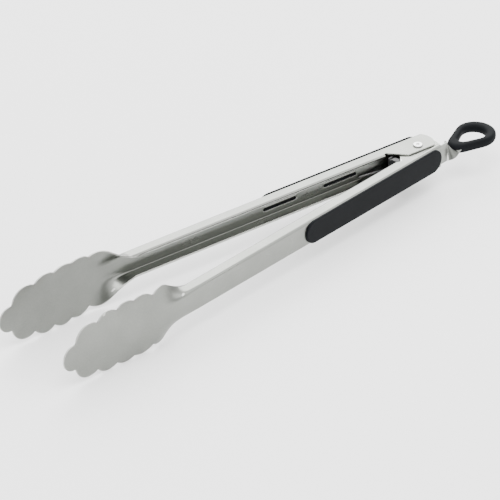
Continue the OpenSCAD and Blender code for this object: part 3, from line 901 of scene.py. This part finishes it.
class TONGS_OT_grips(bpy.types.Operator):
    """Build both rubber grips with the ribs that plug into the slots"""

    bl_idname = "tongs.grips"
    bl_label = "Grips"

    def execute(self, context):
        scene = context.scene
        arm, grip = scene.tongs_arm, scene.tongs_grip
        rubber = moulded_rubber("moulded_grip_rubber", scene.tongs_finish, 0.7 * MM, 0.62)
        radius = arm.channel / 2 - grip.margin
        straight = grip.grip - 2 * radius
        middle = -arm.tail + grip.inset + grip.grip / 2
        for body, side in (("front", FRONT), ("rear", REAR)):
            rings = []
            for inset, height in self.profile(grip, radius):
                outline = stadium(straight, radius - inset, 24)
                rings.append([(middle + x, arm.web + height, y) for x, y in outline])
            parts = [loft(rings)]
            for at in (grip.slot_first, grip.slot_first + grip.slot_pitch):
                for row in (-grip.slot_row, grip.slot_row):
                    parts.append(loft(self.rib(arm, grip, at, row)))
            points, faces = joined(parts)
            make_piece(body + "_grip_rubber", place(points, side), faces, body, body + "_grip",
                       rubber, sharp=60)
        return {"FINISHED"}

    @staticmethod
    def profile(grip, radius):
        """Inset and height of the rings: a small round shoulder, then a faint crown to the middle line."""
        shoulder, crown = 0.55 * MM, 0.1 * MM
        flank = grip.proud - crown - shoulder
        innermost = radius * 0.999
        rings = [(innermost, 0.0), (radius * 0.5, 0.0), (0.0, 0.0)]
        for w in np.radians(np.linspace(0, 90, 7)):
            rings.append((shoulder * (1 - math.cos(w)), flank + shoulder * math.sin(w)))
        for f in np.linspace(0.1, 1, 8):
            rings.append((shoulder + (innermost - shoulder) * f, grip.proud - crown * (1 - f) ** 2))
        return rings

    @staticmethod
    def rib(arm, grip, at, row):
        """Rings of a rib that fills a slot of the web and stands a little proud inside the channel."""
        play, chamfer, inner_end, rooted = 0.04 * MM, 0.12 * MM, 0.2 * MM, 0.15 * MM
        outline = stadium(grip.slot_length - grip.slot_height, grip.slot_height / 2 - play, 8)
        rings = []
        for inset, height in ((chamfer, -arm.sheet - inner_end), (0, -arm.sheet - 0.05 * MM), (0, rooted)):
            scale = 1 - inset / (grip.slot_height / 2)
            rings.append([(at + x - math.copysign(inset, x), arm.web + height, row + y * scale)
                          for x, y in outline])
        return rings


class TONGS_OT_rivet(bpy.types.Operator):
    """Build the hinge rivet with its dimpled heads"""

    bl_idname = "tongs.rivet"
    bl_label = "Rivet"

    def execute(self, context):
        scene = context.scene
        arm, hinge = scene.tongs_arm, scene.tongs_hinge
        head_gap = 0.05 * MM
        under = arm.channel / 2 + head_gap
        top = under + hinge.head_height
        head, pin = hinge.head / 2, hinge.pin / 2
        dome, chamfer = 0.45 * MM, 0.1 * MM
        dent, deep = pin / 2, 0.7 * hinge.head_height
        rim, drop = 0.12 * MM, 0.05 * MM
        half = [(pin, 0.0), (pin, under), (head - chamfer, under), (head, under + chamfer)]
        half += arc((head - dome, top - dome), dome, 0, 90, 6)
        half += [(dent + rim, top), (dent, top - drop)]
        half += arc((0, top - drop), dent, 0, -90, 8)[1:-1]
        half = [(r, max(z, top - deep)) if r < dent else (r, z) for r, z in half]
        half.append((1e-6, top - deep))
        profile = half + [(r, -z) for r, z in reversed(half[1:])]
        points, faces = turned(profile, 64, PIN)
        finish = scene.tongs_finish
        steel = turned_metal("polished_rivet_steel", finish.rivet_dark, finish.rivet, 0.4 * MM, 0.2)
        make_piece("pivot_rivet_turned", points, faces, "front", "pivot_rivet", steel)
        return {"FINISHED"}


class TONGS_OT_bush(bpy.types.Operator):
    """Build the spacer bush between the ears"""

    bl_idname = "tongs.bush"
    bl_label = "Spacer bush"

    def execute(self, context):
        low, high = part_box("spacer_bush")
        hinge, finish = context.scene.tongs_hinge, context.scene.tongs_finish
        bore = hinge.pin / 2 + hinge.clearance
        wall = bore + hinge.bush_wall
        half, chamfer = (high.z - low.z) / 2, 0.12 * MM
        lower = [(bore, chamfer - half), (bore + chamfer, -half),
                 (wall - chamfer, -half), (wall, chamfer - half)]
        profile = lower + [(r, -z) for r, z in reversed(lower)]
        points, faces = turned(profile, 48, PIN)
        steel = turned_metal("turned_bush_steel", finish.bush_dark, finish.bush, 0.3 * MM, 0.32)
        make_piece("spacer_bush_turned", points, faces, "front", "spacer_bush", steel, sharp=30)
        return {"FINISHED"}


class TONGS_OT_spring(bpy.types.Operator):
    """Build the torsion spring that opens the arms"""

    bl_idname = "tongs.spring"
    bl_label = "Torsion spring"

    def execute(self, context):
        scene = context.scene
        spring = scene.tongs_spring
        # A leg leaves the coil on a tangent; the coil starts and ends where the legs touch it
        leg = np.array((spring.leg, spring.leg_distance))
        slope = math.atan2(leg[1], leg[0]) - math.asin(spring.radius / np.linalg.norm(leg))
        cos, sin = math.cos(HALF_ANGLE), math.sin(HALF_ANGLE)
        tip = (leg[0] * cos - leg[1] * sin, leg[0] * sin + leg[1] * cos)
        start = math.pi / 2 + slope + HALF_ANGLE
        end = 2 * math.pi * (spring.turns + 1) - start
        coil = []
        for f in np.linspace(0, 1, 40 * spring.turns + 1):
            angle = start + (end - start) * f
            coil.append((spring.radius * math.cos(angle), spring.radius * math.sin(angle),
                         spring.height * (1 - 2 * f)))
        first, last = np.array(coil[0]), np.array(coil[-1])
        far, near = np.array((*tip, spring.height)), np.array((tip[0], -tip[1], -spring.height))
        path = [far + (first - far) * f for f in np.linspace(0, 1, 24, endpoint=False)]
        path += [np.array(p) for p in coil]
        path += [last + (near - last) * f for f in np.linspace(0, 1, 25)[1:]]
        points, faces = swept(np.array(path) + np.array(PIN), spring.wire / 2)
        finish = scene.tongs_finish
        wire = turned_metal("drawn_spring_wire", finish.wire_dark, finish.wire, 0.35 * MM, 0.3)
        piece = make_piece("torsion_spring_wire", points, faces, None, "torsion_spring", wire)
        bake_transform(piece)
        return {"FINISHED"}


def tab_places(scene):
    """Places along the arm of the tab's ends, of its twist and of the ring's near end."""
    arm, hinge, lock, ring = scene.tongs_arm, scene.tongs_hinge, scene.tongs_lock, scene.tongs_ring
    at = SimpleNamespace()
    at.inner_end = hinge.notch_end - lock.end
    at.twist_from = -arm.tail - LOCK_TRAVEL - lock.clear
    at.twist_to = at.twist_from - lock.twist
    at.ring_near = at.twist_to + ring.overlap
    at.plate_end = at.ring_near - ring.held
    return at


class TONGS_OT_lock_tab(bpy.types.Operator):
    """Build the lock tab that twists from upright in the channel to flat in the ring"""

    bl_idname = "tongs.lock_tab"
    bl_label = "Lock tab"

    def execute(self, context):
        scene = context.scene
        lock, at = scene.tongs_lock, tab_places(scene)
        neck = lock.shoulder + lock.corner
        edge, broken = 0.2 * MM, 0.12 * MM
        stations = [at.inner_end, at.inner_end - 0.25 * MM]
        stations += list(np.linspace(at.inner_end - 0.5 * MM, neck, 8))
        stations += list(np.linspace(neck, lock.shoulder, 8)[1:])
        stations += list(np.linspace(lock.shoulder, at.twist_from, 14)[1:])
        stations += list(np.linspace(at.twist_from, at.twist_to, 36)[1:])
        stations += list(np.linspace(at.twist_to, at.plate_end + 0.3 * MM, 6)[1:]) + [at.plate_end]
        rings = []
        for along in stations:
            f = min(max((at.twist_from - along) / lock.twist, 0.0), 1.0)
            twist = math.pi / 2 * float(ease(f))
            wide = lock.half + (lock.flat / 2 - lock.half) * f
            if along > lock.shoulder:
                wide = lock.narrow + (lock.half - lock.narrow) * float(ease((neck - along) / lock.corner))
            shrink = broken if along in (at.inner_end, at.plate_end) else 0.0
            outline = rounded_box(lock.sheet / 2 - shrink, wide - shrink, edge - shrink / 2, 3)
            cos, sin = math.cos(twist), math.sin(twist)
            rings.append([(along, lock.middle + u * cos - w * sin, u * sin + w * cos) for u, w in outline])
        points, faces = loft(rings)
        layer = [(p[0], p[2], p[1]) for p in points]
        steel = satin_stainless("satin_tab_steel", scene.tongs_finish)
        make_piece("lock_tab_sheet", place(points, FRONT), faces, "lock", "lock_tab", steel,
                   sharp=50, sheet_points=layer)
        return {"FINISHED"}


class TONGS_OT_catch(bpy.types.Operator):
    """Build the black catch block whose fingers slide in behind the lips"""

    bl_idname = "tongs.catch"
    bl_label = "Catch block"

    def execute(self, context):
        scene = context.scene
        arm, lock = scene.tongs_arm, scene.tongs_lock
        # Room round a lip in its groove, towards the finger, the middle and its edge, and under the flange
        by_finger, by_middle, by_edge, by_flange = 0.2 * MM, 0.3 * MM, 0.3 * MM, 0.45 * MM
        lip = arm.web - arm.flange
        finger_in = lip + arm.sheet + by_finger
        finger_out = finger_in + lock.finger
        middle = lip - by_middle
        top = arm.channel / 2 - arm.sheet - by_flange
        groove = arm.channel / 2 - arm.lip - by_edge
        against = lock.middle - lock.sheet / 2
        upper = [(-finger_out, top), (-finger_in, top), (-finger_in, groove), (-middle, groove),
                 (-middle, top), (middle, top), (middle, groove), (finger_in, groove), (finger_in, top),
                 (finger_out, top), (finger_out, lock.narrow), (against, lock.narrow)]
        outline = upper + [(out, -up) for out, up in reversed(upper)]
        end = tab_places(scene).inner_end
        start = end - lock.block
        block = self.bevelled(outline, start, end, 0.2 * MM)
        radius, crown, sunk = lock.peg / 2, 0.08 * MM, 0.02 * MM
        peg = []
        for out, wide in ((against - 0.5 * MM, radius), (against + lock.sheet - sunk, radius),
                          (against + lock.sheet, radius - crown)):
            peg.append([(x, out, up) for x, up in arc(((start + end) / 2, 0), wide, 0, 360, 24)[:-1]])
        points, faces = joined([block, loft(peg)])
        nylon = moulded_nylon("black_moulded_nylon", scene.tongs_finish)
        make_piece("lock_block_nylon", place(points, FRONT), faces, "lock", "lock_block", nylon)
        return {"FINISHED"}

    @staticmethod
    def bevelled(outline, start, end, bevel):
        """Points and faces of an (outwards, up) outline extruded along the arm, with rounded edges."""
        mesh = bmesh.new()
        face = mesh.faces.new([mesh.verts.new((start, out, up)) for out, up in outline])
        lifted = bmesh.ops.extrude_face_region(mesh, geom=[face])
        moved = [v for v in lifted["geom"] if isinstance(v, bmesh.types.BMVert)]
        bmesh.ops.translate(mesh, verts=moved, vec=(end - start, 0, 0))
        bmesh.ops.recalc_face_normals(mesh, faces=mesh.faces)
        bmesh.ops.bevel(mesh, geom=list(mesh.edges), offset=bevel, segments=3, profile=0.5, affect="EDGES")
        mesh.verts.index_update()
        points = [tuple(v.co) for v in mesh.verts]
        faces = [tuple(v.index for v in f.verts) for f in mesh.faces]
        mesh.free()
        return points, faces


class TONGS_OT_ring(bpy.types.Operator):
    """Build the rubber hang ring moulded round the end of the tab"""

    bl_idname = "tongs.ring"
    bl_label = "Hang ring"

    @staticmethod
    def teardrop(far, far_r, near, near_r, angle):
        """Point in direction angle of the outline stretched round two circles."""
        cos, sin = math.cos(angle), math.sin(angle)
        if far * cos + far_r > near * cos + near_r:
            return np.array((far + far_r * cos, far_r * sin))
        return np.array((near + near_r * cos, near_r * sin))

    def execute(self, context):
        scene = context.scene
        lock, ring = scene.tongs_lock, scene.tongs_ring
        near_end = tab_places(scene).ring_near
        far_end = near_end - ring.length
        hole_far = far_end + ring.wall_far + ring.hole
        hole_near = near_end - ring.wall_near - ring.hole_near
        # Below 1 the section is fuller than an ellipse
        fullness = 0.75
        turns, sides = 128, 28
        outer_loop, inner_loop = [], []
        for i in range(turns):
            angle = 2 * math.pi * i / turns
            outer_loop.append(self.teardrop(far_end + ring.far, ring.far,
                                            near_end - ring.near, ring.near, angle))
            inner_loop.append(self.teardrop(hole_far, ring.hole, hole_near, ring.hole_near, angle))
        rows = []
        for outer, inner in zip(self.evened(outer_loop, turns), self.evened(inner_loop, turns)):
            row = []
            for k in range(sides):
                w = 2 * math.pi * k / sides
                c, s = math.cos(w), math.sin(w)
                p = (outer + inner) / 2 + (outer - inner) / 2 * math.copysign(abs(c) ** fullness, c)
                up = ring.height / 2 * math.copysign(abs(s) ** fullness, s)
                row.append((p[0], lock.middle + p[1], up))
            rows.append(row)
        points, faces = loft(rows, closed=True)
        rubber = moulded_rubber("moulded_ring_rubber", scene.tongs_finish, 0.8 * MM, 0.7)
        make_piece("hang_ring_rubber", place(points, FRONT), faces, "lock", "hang_ring",
                   rubber, sharp=60)
        return {"FINISHED"}

    @staticmethod
    def evened(loop, count):
        """The closed loop again with evenly spaced, smoothed points."""
        loop = np.array(loop + loop[:1])
        gaps = np.linalg.norm(np.diff(loop, axis=0), axis=1)
        at = np.concatenate([[0], np.cumsum(gaps)])
        want = np.linspace(0, at[-1], count, endpoint=False)
        even = np.column_stack([np.interp(want, at, loop[:, k]) for k in range(2)])
        for _ in range(6):
            even = even * 0.5 + (np.roll(even, 1, axis=0) + np.roll(even, -1, axis=0)) * 0.25
        return even


# Soft boxes: name, place and size in metres, and power in watts
SOFTBOXES = [
    ("key_softbox", (0.3, 0.4, 2.0), 1.6, 46),
    ("fill_softbox", (-1.2, 0.9, 1.0), 1.2, 8),
    ("back_softbox", (-1.3, -1.4, 1.15), 1.7, 64),
]


class TONGS_OT_stage(bpy.types.Operator):
    """Set the pale floor, the soft studio lights and the camera"""

    bl_idname = "tongs.stage"
    bl_label = "Stage"

    def execute(self, context):
        stage = context.scene.tongs_stage
        size = stage.floor_size
        corners = [(-size, -size, 0), (size, -size, 0), (size, size, 0), (-size, size, 0)]
        mesh = bpy.data.meshes.new("studio_floor")
        mesh.from_pydata(corners, [], [(0, 1, 2, 3)])
        mesh.materials.append(studio_floor("studio_floor_white", stage))
        floor = bpy.data.objects.new("studio_floor", mesh)
        floor.location.z = CAD_LOW.z - stage.floor_drop
        context.scene.collection.objects.link(floor)
        for light in SOFTBOXES:
            self.light(context, *light)
        self.world(context)
        self.camera(context, stage)
        return {"FINISHED"}

    @staticmethod
    def camera(context, stage):
        """A long lens that looks at the aim point from its azimuth, elevation and distance."""
        data = bpy.data.cameras.new("product_camera")
        data.lens, data.sensor_width = stage.lens, 36.0
        data.clip_start, data.clip_end = 0.05, 50.0
        camera = bpy.data.objects.new("product_camera", data)
        level = math.cos(stage.elevation)
        away = Vector((level * math.cos(stage.azimuth), level * math.sin(stage.azimuth),
                       math.sin(stage.elevation)))
        camera.location = Vector(stage.aim) + stage.distance * away
        camera.rotation_mode = "QUATERNION"
        roll = Euler((0, 0, stage.roll)).to_quaternion()
        camera.rotation_quaternion = (-away).to_track_quat("-Z", "Y") @ roll
        context.scene.collection.objects.link(camera)
        context.scene.camera = camera

    @staticmethod
    def light(context, name, location, size, power):
        """A square soft box that points at the middle of the tongs."""
        data = bpy.data.lights.new(name, "AREA")
        data.size, data.energy = size, power
        light = bpy.data.objects.new(name, data)
        light.location = location
        light.rotation_mode = "QUATERNION"
        light.rotation_quaternion = (-light.location).to_track_quat("-Z", "Y")
        context.scene.collection.objects.link(light)

    @staticmethod
    def world(context):
        """Soft light from all round, brightest from above."""
        world = bpy.data.worlds.new("studio_world")
        world.use_nodes = True
        tree = world.node_tree
        direction = add(tree, "ShaderNodeTexCoord").outputs["Generated"]
        up = add(tree, "ShaderNodeSeparateXYZ", inputs={"Vector": direction}).outputs["Z"]
        strength = add(tree, "ShaderNodeMapRange", {"interpolation_type": "SMOOTHSTEP"}, {
            "Value": up, "From Min": -0.2, "From Max": 0.8,
            "To Min": 0.45, "To Max": 2.4}).outputs["Result"]
        background = tree.nodes["Background"]
        background.inputs["Color"].default_value = (1.0, 1.0, 1.0, 1.0)
        tree.links.new(strength, background.inputs["Strength"])
        context.scene.world = world


OPERATORS = (TONGS_OT_arms, TONGS_OT_grips, TONGS_OT_rivet, TONGS_OT_bush, TONGS_OT_spring,
             TONGS_OT_lock_tab, TONGS_OT_catch, TONGS_OT_ring, TONGS_OT_stage)

SETTINGS = {
    "tongs_arm": TongsArmSettings,
    "tongs_head": TongsHeadSettings,
    "tongs_hinge": TongsHingeSettings,
    "tongs_spring": TongsSpringSettings,
    "tongs_grip": TongsGripSettings,
    "tongs_lock": TongsLockSettings,
    "tongs_ring": TongsRingSettings,
    "tongs_finish": TongsFinishSettings,
    "tongs_stage": TongsStageSettings,
}


class TONGS_PT_panel(bpy.types.Panel):
    """Buttons for the pieces and their settings"""

    bl_label = "Tongs"
    bl_idname = "TONGS_PT_panel"
    bl_space_type = "VIEW_3D"
    bl_region_type = "UI"
    bl_category = "Tongs"

    def draw(self, context):
        column = self.layout.column()
        for operator in OPERATORS:
            column.operator(operator.bl_idname)
        for attribute in SETTINGS:
            group = getattr(context.scene, attribute)
            box = self.layout.box()
            box.label(text=attribute.replace("_", " ").capitalize())
            for name in group.__annotations__:
                box.prop(group, name)


def register():
    """Registers the settings, the operators and the panel."""
    for attribute, group in SETTINGS.items():
        bpy.utils.register_class(group)
        setattr(bpy.types.Scene, attribute, PointerProperty(type=group))
    for operator in OPERATORS:
        bpy.utils.register_class(operator)
    bpy.utils.register_class(TONGS_PT_panel)


def unregister():
    """Takes away what register added."""
    bpy.utils.unregister_class(TONGS_PT_panel)
    for operator in reversed(OPERATORS):
        bpy.utils.unregister_class(operator)
    for attribute, group in reversed(SETTINGS.items()):
        delattr(bpy.types.Scene, attribute)
        bpy.utils.unregister_class(group)


def main():
    register()
    for operator in OPERATORS:
        group, name = operator.bl_idname.split(".")
        getattr(getattr(bpy.ops, group), name)()
    bpy.context.view_layer.update()


if __name__ == "__main__":
    main()
